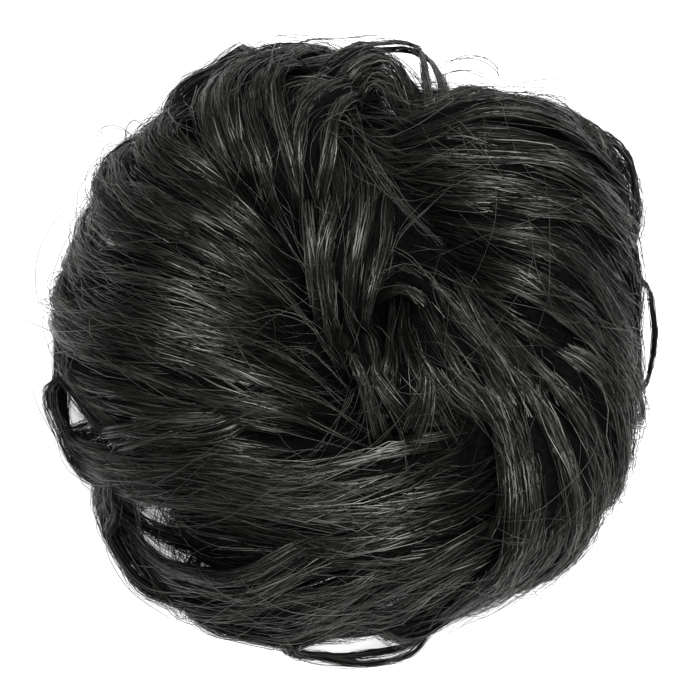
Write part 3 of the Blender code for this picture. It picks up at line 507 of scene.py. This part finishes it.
def lock_strands(rng, line, width, thick, taper, count, points):
    """Chart places and lifts of the strands of a lock. They are gathered in tresses, and those in wisps,
    which part, close and cross along the lock."""
    share = np.linspace(0, 1, points)
    centre = line.at(line.chart, share)
    across = line.at(line.across, share)
    lift = line.at(line.lift, share)
    size = np.interp(share, *zip(*taper))
    cycles = line.length / WAVE_LENGTH
    tresses = max(2, round(width / TRESS_WIDTH))
    tress_u = np.linspace(-TRESS_EDGE, TRESS_EDGE, tresses)[:, None]
    tress_u = tress_u + wander(rng, tresses, share, cycles, TRESS_SWAY)
    tress_v = rng.uniform(*TRESS_HEIGHTS, (tresses, 1)) + wander(rng, tresses, share, cycles, TRESS_SWELL)
    wisps = WISPS_A_TRESS * tresses
    tress = np.arange(wisps) % tresses
    angle = rng.uniform(*WISP_ANGLES, wisps)
    away = rng.uniform(*WISP_AWAY, wisps)
    wisp_u = tress_u[tress] + (WISP_OUT / tresses * away * np.cos(angle))[:, None]
    wisp_u += wander(rng, wisps, share, cycles, WISP_SWAY)
    wisp_v = tress_v[tress] + (WISP_UP * away * np.sin(angle))[:, None]
    wisp_v += wander(rng, wisps, share, cycles, WISP_SWELL)
    wisp = rng.integers(wisps, size=count)
    beat = cycles * rng.uniform(*WISP_BEATS, (wisps, 1)) * share + rng.random((wisps, 1))
    spread = (WISP_SPREAD + WISP_SPREAD_CHANGE * np.sin(2 * math.pi * beat))[wisp]
    quick, slow = cycles * STRAND_CYCLES, cycles * CROSSING_CYCLES
    u = wisp_u[wisp] + rng.normal(0, 1, (count, 1)) * spread
    u = u + wander(rng, count, share, quick, STRAND_SWAY)
    v = wisp_v[wisp] + rng.normal(0, STRAND_FLATNESS, (count, 1)) * spread
    v = v + wander(rng, count, share, quick, STRAND_SWAY)
    crossing = rng.random((count, 1)) < CROSSING
    u += crossing * wander(rng, count, share, slow, CROSSING_SWAY)
    v += crossing * np.abs(wander(rng, count, share, slow, CROSSING_SWELL))
    chart = centre + across * (u * size * width / 2)[..., None]
    height = lift + v * size * thick / 2
    return chart, height


def along_strands(rng, chart, lift, latest, soonest):
    """Cuts each strand to its own stretch, which starts by latest and stops after soonest, as shares of the
    lock, so that roots and tips don't line up."""
    count, points = lift.shape
    start = rng.uniform(0, latest, count)
    stop = rng.uniform(soonest, 1, count)
    wanted = (start[:, None] + (stop - start)[:, None] * np.linspace(0, 1, points)) * (points - 1)
    low = np.clip(wanted.astype(int), 0, points - 2)
    part = wanted - low
    rows = np.arange(count)[:, None]
    cut_chart = chart[rows, low] * (1 - part)[..., None] + chart[rows, low + 1] * part[..., None]
    cut_lift = lift[rows, low] * (1 - part) + lift[rows, low + 1] * part
    return cut_chart, cut_lift


def clear_gaps(rng, points):
    """Which strands stay: those that run across a gap are nearly all left out."""
    keep = np.ones(len(points), bool)
    for gap in GAPS:
        turn = math.radians(gap.tilt_deg)
        x = points[..., 0] - gap.x
        y = points[..., 1] - gap.y
        u = (x * math.cos(turn) + y * math.sin(turn)) / gap.across
        v = (y * math.cos(turn) - x * math.sin(turn)) / gap.along
        inside = (u**2 + v**2 < 1).any(1)
        keep &= ~inside | (rng.random(len(points)) < gap.left)
    return keep


# Sections of a strand, across it and up from the hair: a flat ribbon and a tube
RIBBON = ((-1.0, 0.0), (1.0, 0.0))
TUBE = ((0.0, 1.0), (0.87, -0.5), (-0.87, -0.5))
STRAND_TAPER = ((0.0, 0.25), (0.2, 0.9), (0.4, 1.0), (0.75, 0.95), (1.0, 0.25))
MOST_TRIANGLES = 195_000  # in one piece
LOWEST = 0.25  # nothing hangs lower over the table
STRAND_SIZES = (0.75, 1.2)  # the thinnest and the thickest, as shares of the usual radius
MAP_EDGE = 0.02  # what the strand map leaves free at a root and at a tip
# How far a ribbon is rolled about its own line: between strands, along one, and at most
ROLL_DEG, ROLL_CHANGE_DEG, ROLL_MOST_DEG = 29.0, 10.0, 65.0


def strand_mesh(name, points, normals, radius, tone, roll, section):
    """One mesh of many strands. Points are (strands, stations, 3) in mm; tone sets each one's place on the
    strand map, whose other axis runs from root to tip."""
    count, stations = points.shape[:2]
    ahead = np.gradient(points, axis=1)
    ahead /= np.maximum(np.linalg.norm(ahead, axis=2), TINY)[..., None]
    side = np.cross(ahead, normals)
    side /= np.maximum(np.linalg.norm(side, axis=2), TINY)[..., None]
    up = np.cross(side, ahead)
    cos, sin = np.cos(roll)[..., None], np.sin(roll)[..., None]
    side, up = side * cos + up * sin, up * cos - side * sin
    share = np.linspace(0, 1, stations)
    thick = radius[:, None] * np.interp(share, *zip(*STRAND_TAPER))
    corners = len(section)
    verts = np.stack([points + (side * a + up * b) * thick[..., None] for a, b in section], 2)
    index = np.arange(count * stations * corners).reshape(count, stations, corners)
    following = np.roll(index, -1, axis=2)
    if section is not TUBE:
        index, following = index[..., :-1], following[..., :-1]
    quads = np.stack([index[:, :-1], following[:, :-1], following[:, 1:], index[:, 1:]], -1).reshape(-1, 4)
    mesh = bpy.data.meshes.new(name)
    mesh.vertices.add(verts.size // 3)
    mesh.vertices.foreach_set("co", (verts * MM).astype(np.float32).ravel())
    mesh.loops.add(quads.size)
    mesh.loops.foreach_set("vertex_index", quads.astype(np.int32).ravel())
    mesh.polygons.add(len(quads))
    mesh.polygons.foreach_set("loop_start", np.arange(0, quads.size, 4, dtype=np.int32))
    mesh.update(calc_edges=True)
    strand_map = np.empty((count, stations, corners, 2), np.float32)
    strand_map[..., 0] = tone[:, None, None]
    strand_map[..., 1] = share[None, :, None] * (1 - 2 * MAP_EDGE) + MAP_EDGE
    layer = mesh.uv_layers.new(name="strand_map")
    layer.uv.foreach_set("vector", strand_map.reshape(-1, 2)[quads.ravel()].ravel())
    mesh.shade_smooth()
    made = bpy.data.objects.new(name, mesh)
    bpy.context.scene.collection.objects.link(made)
    return made


def hair_piece(obj, finish):
    """Sets the finish of a piece of hair and says what it stands for."""
    obj.data.materials.clear()
    obj.data.materials.append(finish)
    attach(obj, "root")
    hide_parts("hair_locks")
    return obj


def make_strands(rng, name, chart, lift, section, radius, finish, gaps=True):
    """Turns charted strands into pieces of hair, none with more than MOST_TRIANGLES triangles."""
    points, normals = SURFACE.place(chart, lift)
    if gaps:
        keep = clear_gaps(rng, points)
        points, normals = points[keep], normals[keep]
    points[..., 2] = np.maximum(points[..., 2], LOWEST)
    count, stations = points.shape[:2]
    size = radius * rng.uniform(*STRAND_SIZES, count)
    tone = rng.random(count)
    share = np.linspace(0, 1, stations)
    turn = rng.normal(0, ROLL_DEG, (count, 1)) + wander(rng, count, share, 1.0, ROLL_CHANGE_DEG)
    roll = np.radians(np.clip(turn, -ROLL_MOST_DEG, ROLL_MOST_DEG))
    sides = len(section) if section is TUBE else len(section) - 1
    triangles = 2 * sides * (stations - 1)
    order = np.argsort(np.arctan2(points[:, stations // 2, 1], points[:, stations // 2, 0]))
    pieces = math.ceil(count * triangles / MOST_TRIANGLES)
    for number, chosen in enumerate(np.array_split(order, pieces)):
        label = name if pieces == 1 else f"{name}_{number + 1}"
        rows = [values[chosen] for values in (points, normals, size, tone, roll)]
        hair_piece(strand_mesh(label, *rows, section), finish)


def join_nodes(source, output, target, socket):
    source.id_data.links.new(source.outputs[output], target.inputs[socket])


def new_material(name):
    """A material, its nodes and its shader."""
    made = bpy.data.materials.new(name)
    made.use_nodes = True
    return made, made.node_tree.nodes, made.node_tree.nodes["Principled BSDF"]


def tone_ramp(nodes, *stops):
    """A ramp through colours, each given with its place."""
    made = nodes.new("ShaderNodeValToRGB")
    elements = made.color_ramp.elements
    while len(elements) < len(stops):
        elements.new(1.0)
    for element, (place, colour) in zip(elements, stops):
        element.position = place
        element.color = colour
    return made


RELIEF = 0.3 * MM


def add_relief(nodes, source, output, shader, strength):
    """Relief on the shader from a node's output."""
    bump = nodes.new("ShaderNodeBump")
    bump.inputs["Strength"].default_value = strength
    bump.inputs["Distance"].default_value = RELIEF
    join_nodes(source, output, bump, "Height")
    join_nodes(bump, "Normal", shader, "Normal")


FILL_GRAIN = 900.0  # specks to a metre
STRAND_NOISE = (60.0, 3.0, 1.0)  # across the strand map and along it
NOISE_LOW, NOISE_HIGH = 0.3, 0.7  # most of what the noise gives
TONE_PLACES = (0.3, 0.56, 0.66)  # where on the noise the three tones are
SHEEN_TINT = (0.98, 1.0, 0.92, 1)


def strand_material(name, darkest, usual, palest, sheen, roughness):
    """Off-black fibre whose tone changes from strand to strand and a little from root to tip."""
    made, nodes, shader = new_material(name)
    where = nodes.new("ShaderNodeUVMap")
    where.uv_map = "strand_map"
    stretch = nodes.new("ShaderNodeMapping")
    stretch.inputs["Scale"].default_value = STRAND_NOISE
    noise = nodes.new("ShaderNodeTexNoise")
    noise.inputs["Scale"].default_value = 1.0
    noise.inputs["Detail"].default_value = 1.0
    tones = tone_ramp(nodes, *zip(TONE_PLACES, (darkest, usual, palest)))
    rough = nodes.new("ShaderNodeMapRange")
    rough.inputs["From Min"].default_value = NOISE_LOW
    rough.inputs["From Max"].default_value = NOISE_HIGH
    rough.inputs["To Min"].default_value, rough.inputs["To Max"].default_value = roughness
    join_nodes(where, "UV", stretch, "Vector")
    join_nodes(stretch, "Vector", noise, "Vector")
    join_nodes(noise, "Fac", tones, "Fac")
    join_nodes(noise, "Fac", rough, "Value")
    join_nodes(tones, "Color", shader, "Base Color")
    join_nodes(rough, "Result", shader, "Roughness")
    shader.inputs["Specular IOR Level"].default_value = sheen
    shader.inputs["Specular Tint"].default_value = SHEEN_TINT
    return made


def fill_material():
    """The hair that shows between the locks and inside them: near-black, painted darker than the strands as
    shade, matt, with streaks.
    """
    made, nodes, shader = new_material("hair_fill")
    where = nodes.new("ShaderNodeTexCoord")
    noise = nodes.new("ShaderNodeTexNoise")
    noise.inputs["Scale"].default_value = FILL_GRAIN
    noise.inputs["Detail"].default_value = 2.0
    # Tones below the strands' usual one: painted shade on the hair's own near-black
    tones = tone_ramp(nodes, (0.35, (0.0004, 0.0004, 0.0004, 1)), (0.7, (0.0022, 0.0023, 0.0020, 1)))
    join_nodes(where, "Object", noise, "Vector")
    join_nodes(noise, "Fac", tones, "Fac")
    join_nodes(tones, "Color", shader, "Base Color")
    add_relief(nodes, noise, "Fac", shader, 0.5)
    shader.inputs["Roughness"].default_value = 0.8
    shader.inputs["Specular IOR Level"].default_value = 0.03
    return made


THREADS_A_METRE = 320.0
THREAD_LEAN = 0.6  # in radians, one way and the other


def band_material():
    """Braided elastic: black threads that cross round the cord."""
    made, nodes, shader = new_material("braided_elastic")
    where = nodes.new("ShaderNodeTexCoord")
    crossed = nodes.new("ShaderNodeMath")
    crossed.operation = "MAXIMUM"
    for slot, lean in enumerate((THREAD_LEAN, -THREAD_LEAN)):
        thread = nodes.new("ShaderNodeTexWave")
        thread.wave_type = "RINGS"
        thread.rings_direction = "Z"
        thread.inputs["Scale"].default_value = THREADS_A_METRE
        thread.inputs["Distortion"].default_value = 0.6
        laid = nodes.new("ShaderNodeMapping")
        laid.inputs["Rotation"].default_value = (lean, lean, 0)
        join_nodes(where, "Object", laid, "Vector")
        join_nodes(laid, "Vector", thread, "Vector")
        join_nodes(thread, "Fac", crossed, slot)
    tones = tone_ramp(nodes, (0.0, (0.003, 0.003, 0.003, 1)), (1.0, (0.016, 0.016, 0.016, 1)))
    join_nodes(crossed, "Value", tones, "Fac")
    join_nodes(tones, "Color", shader, "Base Color")
    add_relief(nodes, crossed, "Value", shader, 0.8)
    shader.inputs["Roughness"].default_value = 0.85
    return made


CROWN_TAPER = ((0.0, 0.5), (0.12, 0.65), (0.3, 0.9), (0.5, 1.0), (0.8, 1.0), (1.0, 0.65))
TUFT_TAPER = ((0.0, 0.4), (0.2, 0.6), (0.5, 0.9), (0.8, 1.3), (1.0, 1.6))
RIM_TAPER = ((0.0, 0.6), (0.25, 1.0), (0.75, 1.0), (1.0, 0.6))
STRANDS_A_MM2 = 0.435  # strands to a square millimetre of a lock seen from above
STRAND_RADIUS = 0.09
STRAND_POINTS = 15
DULL_SHARE = 0.45  # of the strands in a lock, so that the bright ones stand out singly
HAIR_RADIUS, FLYAWAY_RADIUS = 0.085, 0.12
BETWEEN_STRANDS, UNDER_STRANDS, STRAY_STRANDS = 2300, 1200, 480
# The latest start and the soonest stop of a strand, as shares of its lock
CROWN_ENDS, TUFT_ENDS, RIM_ENDS = (0.08, 0.93), (0.08, 0.6), (0.08, 0.92)


def grow_locks(rng, locks, taper, latest, soonest, sunk_tips=True):
    """All the strands of a table of locks."""
    charts, lifts = [], []
    for lock in locks:
        line = LockLine(lock, sunk_tip=sunk_tips)
        count = int(lock.width * line.length * STRANDS_A_MM2 * lock.fullness)
        chart, lift = lock_strands(rng, line, lock.width, lock.thick, taper, count, STRAND_POINTS)
        chart, lift = along_strands(rng, chart, lift, latest, soonest)
        charts.append(chart)
        lifts.append(lift)
    return np.concatenate(charts), np.concatenate(lifts)


def split(rng, chart, lift, share):
    """The strands in two lots, of which the first holds about the given share."""
    first = rng.random(len(lift)) < share
    return (chart[first], lift[first]), (chart[~first], lift[~first])


# How far the hairs of a flyaway part sideways and upwards, and how far each one waves
FLYAWAY_APART, FLYAWAY_SWAY = 0.7, 0.5
FLYAWAY_RISE, FLYAWAY_SWELL = 0.3, 0.3


def grow_flyaways(rng, rows):
    """The hairs of a table of flyaways."""
    charts, lifts = [], []
    share = np.linspace(0, 1, STRAND_POINTS)
    for row in rows:
        line = LockLine(Lock(row.name, 0, 0, 0, 0, row.route), False, False)
        centre, across = line.at(line.chart, share), line.at(line.across, share)
        lift = line.at(line.lift, share)
        u = rng.normal(0, FLYAWAY_APART, (row.hairs, 1)) + wander(rng, row.hairs, share, 1.0, FLYAWAY_SWAY)
        v = rng.normal(0, FLYAWAY_RISE, (row.hairs, 1)) + wander(rng, row.hairs, share, 1.0, FLYAWAY_SWELL)
        charts.append(centre + across * u[..., None])
        lifts.append(lift + v)
    return np.concatenate(charts), np.concatenate(lifts)


FLOW_REACH = 6.0  # how far round it, in mm, a lock steers the strands between
FLOW_LOT = 2000  # how many places are worked out at once


def flow_at(places, samples, directions):
    """The way that the hair near each chart place runs, from the locks round it."""
    flow = np.empty_like(places)
    for start in range(0, len(places), FLOW_LOT):
        part = places[start : start + FLOW_LOT]
        distance = ((part[:, None] - samples[None]) ** 2).sum(2)
        weight = np.exp(-distance / (2 * FLOW_REACH**2)) + TINY
        flow[start : start + FLOW_LOT] = weight @ directions
    return flow / np.maximum(np.linalg.norm(flow, axis=1), TINY)[:, None]


def stream(rng, seeds, length, points, turn_deg=0.0):
    """Lines that follow the flow of the locks through the seeds, each turned off it by its own angle."""
    lines = [LockLine(lock, False, False, LOCK_STATIONS // 2) for lock in CROWN_LOCKS + TUFTS]
    samples = np.concatenate([line.chart for line in lines])
    directions = np.concatenate([line.ahead for line in lines])
    turn = np.radians(rng.normal(0, 1, len(seeds)) * turn_deg)
    cos, sin = np.cos(turn), np.sin(turn)
    step = (length / (points - 1))[:, None]
    halves = []
    for sign in (-1, 1):
        here = seeds.copy()
        line = [here]
        for _ in range(points // 2):
            flow = flow_at(here, samples, directions)
            turned = np.stack([flow[:, 0] * cos - flow[:, 1] * sin, flow[:, 0] * sin + flow[:, 1] * cos], 1)
            here = here + sign * step * turned
            line.append(here)
        halves.append(line)
    return np.stack([*halves[0][:0:-1], *halves[1]], 1)


def scatter(rng, count, furthest):
    """Chart places strewn evenly out to a reach."""
    reach = np.sqrt(rng.random(count)) * furthest
    angle = rng.uniform(0, 2 * math.pi, count)
    return np.stack([reach * np.cos(angle), reach * np.sin(angle)], 1)


BETWEEN_PAST_RIM = 14
BETWEEN_LENGTHS = (35, 60)
BETWEEN_TURN_DEG = 6.0
BETWEEN_LIFTS = (-4.0, 0.5)
BETWEEN_SWELL = 0.6


def grow_between(rng, count):
    """Strands that fill the ground between the locks and under them."""
    seeds = scatter(rng, count, SURFACE.rim_reach + BETWEEN_PAST_RIM)
    chart = stream(rng, seeds, rng.uniform(*BETWEEN_LENGTHS, count), STRAND_POINTS, BETWEEN_TURN_DEG)
    share = np.linspace(0, 1, STRAND_POINTS)
    swell = rng.uniform(*BETWEEN_LIFTS, (count, 1)) + wander(rng, count, share, 1.0, BETWEEN_SWELL)
    return chart, swell - pit_depth(chart)


UNDER_POINTS = 13
UNDER_START = 6  # within this of the band's mouth
UNDER_STOPS = (-10, 12)  # from the rim
UNDER_SWIRL, UNDER_SWIRL_CHANGE = 0.45, 0.12  # in radians
UNDER_LIFTS = (-0.3, 0.9)
UNDER_CYCLES, UNDER_SWAY = 0.9, 0.03
UNDER_SWELL = 0.2


def grow_under(rng, count):
    """Strands that run from the band's mouth out over the underside and up to the rim."""
    share = np.linspace(0, 1, UNDER_POINTS)
    start = rng.uniform(SURFACE.end - UNDER_START, SURFACE.end, (count, 1))
    stop = SURFACE.rim_reach + rng.uniform(*UNDER_STOPS, (count, 1))
    reach = start + (stop - start) * share
    swirl = rng.normal(UNDER_SWIRL, UNDER_SWIRL_CHANGE, (count, 1))
    angle = rng.uniform(0, 2 * math.pi, (count, 1)) + swirl * share
    angle = angle + wander(rng, count, share, UNDER_CYCLES, UNDER_SWAY)
    chart = np.stack([reach * np.cos(angle), reach * np.sin(angle)], -1)
    lift = rng.uniform(*UNDER_LIFTS, (count, 1)) + wander(rng, count, share, 1.0, UNDER_SWELL)
    return chart, lift


CELL = 1.5
COVER_REACH = 130  # further than the hair's surface reaches
BARE = -4.0  # how high the hair stands where there is no lock


class Cover:
    """How high the locks stand over the surface, on a grid of the chart."""

    def __init__(self, chart, lift):
        self.half = int(COVER_REACH / CELL)
        grid = np.full((2 * self.half, 2 * self.half), BARE)
        spot = self.spot(chart).reshape(-1, 2)
        np.maximum.at(grid, (spot[:, 0], spot[:, 1]), lift.ravel())
        for _ in range(2):
            sides = [np.roll(grid, step, axis) for step in (1, -1) for axis in (0, 1)]
            grid = 0.5 * grid + 0.5 * np.maximum.reduce([grid, *sides])
        self.grid = grid

    def spot(self, chart):
        return np.clip((chart / CELL).astype(int) + self.half, 0, 2 * self.half - 1)

    def at(self, chart):
        spot = self.spot(chart)
        return self.grid[spot[..., 0], spot[..., 1]]


STRAY_LENGTHS = (14, 50)
STRAY_TURN_DEG = 25.0
STRAY_CYCLES, STRAY_SWAY = 0.8, 1.2
STRAY_SINK = 0.5
STRAY_PASSES = 4  # how often the ground under a stray is smoothed
STRAY_LIFT, STRAY_BOW = 0.8, 1.8  # at most, all along and in the middle


def grow_strays(rng, cover, count):
    """Loose strands that lie over the locks and cross them."""
    seeds = scatter(rng, count, SURFACE.rim_reach - 2)
    chart = stream(rng, seeds, rng.uniform(*STRAY_LENGTHS, count), STRAND_POINTS, STRAY_TURN_DEG)
    share = np.linspace(0, 1, STRAND_POINTS)
    chart = chart + wander(rng, count, share, STRAY_CYCLES, STRAY_SWAY)[..., None]
    height = cover.at(chart)
    for _ in range(STRAY_PASSES):
        height = np.maximum(height, (np.roll(height, 1, 1) + np.roll(height, -1, 1)) / 2)
    bow = np.sin(np.pi * share)
    lift = height - STRAY_SINK + rng.uniform(0, STRAY_LIFT, (count, 1))
    lift = lift + bow * rng.uniform(0, STRAY_BOW, (count, 1))
    return chart, lift


def add_mesh(name, shape, finish):
    mesh = bpy.data.meshes.new(name)
    shape.to_mesh(mesh)
    shape.free()
    mesh.shade_smooth()
    made = bpy.data.objects.new(name, mesh)
    bpy.context.scene.collection.objects.link(made)
    return hair_piece(made, finish)


CORE_SHRINK = Station(0.92, 0.88)
HOLLOW = (Station(0.0, 30.0), Station(13.0, 29.0), Station(21.0, 26.0), Station(BAND_RADIUS, 20.0))
CORE_FLOOR = (Station(BAND_RADIUS + 0.6, 7.0), Station(31.0, 2.2), Station(50.0, 2.0))
CORE_LOWEST = 2.0
CORE_STATIONS = 10  # how many of the surface's stations the core follows, from the top down
CORE_CURVE = 24  # points on the curve through those stations
CORE_STEPS = 72
CHANNEL_TURN_DEG = 50  # how far up and down the band's channel wraps it
CHANNEL_STEPS = 7
# Beside a gap the core is pulled in by this share of its radius, and less and less over the next few mm
GAP_PULL, GAP_PULL_REACH = 0.16, 8
UNPULLED_RADIUS = 40


def make_core(finish):
    """The tangle of hair inside, turned round the band's axis, with the hollow for the wearer's own bun."""
    outline = list(HOLLOW)
    away = BAND_CORD / 2 + BAND_GAP
    for turn in np.radians(np.linspace(CHANNEL_TURN_DEG, -CHANNEL_TURN_DEG, CHANNEL_STEPS)):
        outline.append((BAND_RADIUS + away * math.cos(turn), BAND_HEIGHT + away * math.sin(turn)))
    outline += CORE_FLOOR
    for radius, height in smooth_curve(MERIDIAN[:CORE_STATIONS], CORE_CURVE)[::-1]:
        shrunk = CORE_LOWEST + (height - CORE_LOWEST) * CORE_SHRINK.height
        outline.append((radius * CORE_SHRINK.radius, shrunk))
    shape = bmesh.new()
    verts = [shape.verts.new((r * MM, 0, z * MM)) for r, z in outline]
    edges = [shape.edges.new(pair) for pair in zip(verts, verts[1:])]
    turned = {"cent": (0, 0, 0), "axis": (0, 0, 1), "angle": 2 * math.pi, "steps": CORE_STEPS}
    bmesh.ops.spin(shape, geom=verts + edges, use_merge=True, **turned)
    bmesh.ops.remove_doubles(shape, verts=shape.verts, dist=0.001 * MM)
    bmesh.ops.recalc_face_normals(shape, faces=shape.faces)
    for vert in shape.verts:
        x, y = vert.co.x / MM, vert.co.y / MM
        if math.hypot(x, y) < UNPULLED_RADIUS:
            continue
        for gap in GAPS:
            near = math.hypot(x - gap.x, y - gap.y) - max(gap.across, gap.along)
            pull = max(0.0, 1 - max(near, 0.0) / GAP_PULL_REACH)
            vert.co.x *= 1 - GAP_PULL * pull
            vert.co.y *= 1 - GAP_PULL * pull
    return add_mesh("hair_core", shape, finish)


# The body in a lock, dark as painted shade: its size as a share of the lock's, and where along the lock it
# starts and stops
Body = namedtuple("Body", "size first last")
CROWN_BODY, TUFT_BODY, RIM_BODY = Body(0.66, 0.04, 0.84), Body(0.66, 0.04, 0.7), Body(0.42, 0.02, 0.98)
BODY_STATIONS, BODY_SIDES = 18, 12
BODY_SINK = 0.12  # how far it lies under the lock's middle line, as a share of the thickness
BODY_ENDS = (0.3, 1.0, 1.0, 0.3)
BODY_OPENS, BODY_CLOSES = 0.1, 0.15
GAP_EASE = 7.0  # over how many mm a body grows to its full size beside a gap
IN_GAP = 0.08  # the share of its size that a body keeps in a gap
THIN = 7  # a lock narrower than this has no body under its strands


def beside_gaps(places):
    """How much of its size a body keeps at places in space: little in a gap, all of it further off."""
    kept = np.ones(places.shape[:-1])
    for gap in GAPS:
        away = np.hypot(places[..., 0] - gap.x, places[..., 1] - gap.y) - 0.5 * (gap.across + gap.along)
        kept = np.minimum(kept, np.clip(away / GAP_EASE, IN_GAP, 1))
    return kept[..., None]


def make_lock_fill(name, locks, taper, body, finish):
    """A smooth body inside each lock, under its strands, dark as painted shade."""
    shape = bmesh.new()
    share = np.linspace(body.first, body.last, BODY_STATIONS)
    turn = np.linspace(0, 2 * math.pi, BODY_SIDES, endpoint=False)
    bends = (body.first, body.first + BODY_OPENS, body.last - BODY_CLOSES, body.last)
    for lock in locks:
        if lock.width < THIN:
            continue
        line = LockLine(lock)
        size = np.interp(share, *zip(*taper)) * body.size
        size *= np.interp(share, bends, BODY_ENDS)
        centre = line.at(line.chart, share)
        across = line.at(line.across, share)
        lift = line.at(line.lift, share) - BODY_SINK * lock.thick
        chart = centre[:, None] + across[:, None] * (np.cos(turn) * size[:, None] * lock.width / 2)[..., None]
        height = lift[:, None] + np.sin(turn) * size[:, None] * lock.thick / 2
        points, _ = SURFACE.place(chart, height)
        middle = points.mean(1, keepdims=True)
        points = middle + (points - middle) * beside_gaps(middle)
        rings = [[shape.verts.new(p * MM) for p in ring] for ring in points]
        faces = [shape.faces.new(rings[0]), shape.faces.new(rings[-1])]
        for near, far in zip(rings, rings[1:]):
            for i in range(len(near)):
                j = (i + 1) % len(near)
                faces.append(shape.faces.new((near[i], near[j], far[j], far[i])))
        bmesh.ops.recalc_face_normals(shape, faces=faces)
    return add_mesh(name, shape, finish)


# Square lights, in metres and watts, that face the hair
Light = namedtuple("Light", "name place size power")
LIGHTS = (
    Light("top_light", (0.22, 0.30, 1.3), 0.9, 34.0),
    Light("side_light", (-0.9, 0.2, 0.9), 0.7, 1.0),
    Light("front_light", (-0.1, -1.05, 0.6), 0.8, 9.0),
    Light("back_light", (0.5, 0.9, 0.6), 0.7, 5.0),
)


def add_light(row):
    light = bpy.data.lights.new(row.name, "AREA")
    light.shape = "SQUARE"
    light.size = row.size
    light.energy = row.power
    lamp = bpy.data.objects.new(row.name, light)
    lamp.location = row.place
    lamp.rotation_euler = (-Vector(row.place)).to_track_quat("-Z", "Y").to_euler()
    bpy.context.scene.collection.objects.link(lamp)


FIELD = 175.0 * MM  # how much of the table the photograph's frame takes in
FIELD_HEIGHT = 19.0 * MM  # measured at the height of the rim
FLOOR = 6.0
LENS, SENSOR = 100, 36
CAMERA_Y = 0.5 * MM


def make_stage():
    """A plain pale floor, soft lights and the camera straight above."""
    bpy.ops.mesh.primitive_plane_add(size=FLOOR, location=(0, 0, 0))
    floor = bpy.context.object
    floor.name = "floor"
    paint, _, shader = new_material("floor_paper")
    shader.inputs["Base Color"].default_value = (0.9, 0.9, 0.9, 1)
    shader.inputs["Roughness"].default_value = 0.9
    shader.inputs["Emission Color"].default_value = (1, 1, 1, 1)
    shader.inputs["Emission Strength"].default_value = 0.35
    floor.data.materials.append(paint)
    scene = bpy.context.scene
    scene.view_settings.view_transform = "Standard"
    world = bpy.data.worlds.new("studio")
    world.use_nodes = True
    world.node_tree.nodes["Background"].inputs["Color"].default_value = (1, 1, 1, 1)
    world.node_tree.nodes["Background"].inputs["Strength"].default_value = 0.02
    scene.world = world
    for row in LIGHTS:
        add_light(row)
    camera = bpy.data.objects.new("camera", bpy.data.cameras.new("camera"))
    camera.data.lens = LENS
    camera.data.sensor_width = SENSOR
    camera.location = (0, CAMERA_Y, FIELD * LENS / SENSOR + FIELD_HEIGHT)
    scene.collection.objects.link(camera)
    scene.camera = camera


rng = np.random.default_rng(SEED)
finish = strand_material(
    "hair_strands",
    darkest=(0.0006, 0.0007, 0.0006, 1),
    usual=(0.0040, 0.0042, 0.0036, 1),
    palest=(0.024, 0.025, 0.021, 1),
    sheen=0.65,
    roughness=(0.32, 0.48),
)
# Darker, less shiny strands: a random share of each lock's strands, and painted shade on the strands between
# the locks
dark_and_painted_shade = strand_material(
    "dark_strands_and_painted_shade",
    darkest=(0.0004, 0.0004, 0.0004, 1),
    usual=(0.0014, 0.0015, 0.0013, 1),
    palest=(0.005, 0.005, 0.004, 1),
    sheen=0.12,
    roughness=(0.45, 0.6),
)
# The hair's own near-black, painted darker as shade, for the core and the bodies inside the locks
matt_and_painted_shade = fill_material()
make_core(matt_and_painted_shade)
make_lock_fill("crown_fill", CROWN_LOCKS, CROWN_TAPER, CROWN_BODY, matt_and_painted_shade)
make_lock_fill("tuft_fill", TUFTS, CROWN_TAPER, TUFT_BODY, matt_and_painted_shade)
make_lock_fill("rim_fill", RIM_LOCKS, RIM_TAPER, RIM_BODY, matt_and_painted_shade)
crown = grow_locks(rng, CROWN_LOCKS, CROWN_TAPER, *CROWN_ENDS)
tufts = grow_locks(rng, TUFTS, TUFT_TAPER, *TUFT_ENDS, sunk_tips=False)
crown_chart, crown_lift = (np.concatenate(pair) for pair in zip(crown, tufts))
cover = Cover(crown_chart, crown_lift)
dull_crown, bright_crown = split(rng, crown_chart, crown_lift, DULL_SHARE)
make_strands(rng, "crown_strands", *bright_crown, RIBBON, STRAND_RADIUS, finish)
make_strands(rng, "crown_dull_strands", *dull_crown, RIBBON, STRAND_RADIUS, dark_and_painted_shade)
dull_rim, bright_rim = split(rng, *grow_locks(rng, RIM_LOCKS, RIM_TAPER, *RIM_ENDS), DULL_SHARE)
make_strands(rng, "rim_strands", *bright_rim, RIBBON, STRAND_RADIUS, finish)
make_strands(rng, "rim_dull_strands", *dull_rim, RIBBON, STRAND_RADIUS, dark_and_painted_shade)
# The strands between the locks take the darker material: painted shade in the hollows
make_strands(rng, "between_strands", *grow_between(rng, BETWEEN_STRANDS), RIBBON, STRAND_RADIUS, dark_and_painted_shade)
make_strands(rng, "under_strands", *grow_under(rng, UNDER_STRANDS), RIBBON, STRAND_RADIUS, finish)
make_strands(rng, "stray_strands", *grow_strays(rng, cover, STRAY_STRANDS), TUBE, HAIR_RADIUS, finish)
make_strands(rng, "crossing_hairs", *grow_flyaways(rng, CROSSING_HAIRS), TUBE, HAIR_RADIUS, finish)
flyaways = grow_flyaways(rng, FLYAWAYS)
make_strands(rng, "flyaways", *flyaways, TUBE, FLYAWAY_RADIUS, finish, gaps=False)
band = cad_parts["elastic_band"]
band.data.materials.clear()
band.data.materials.append(band_material())
make_stage()
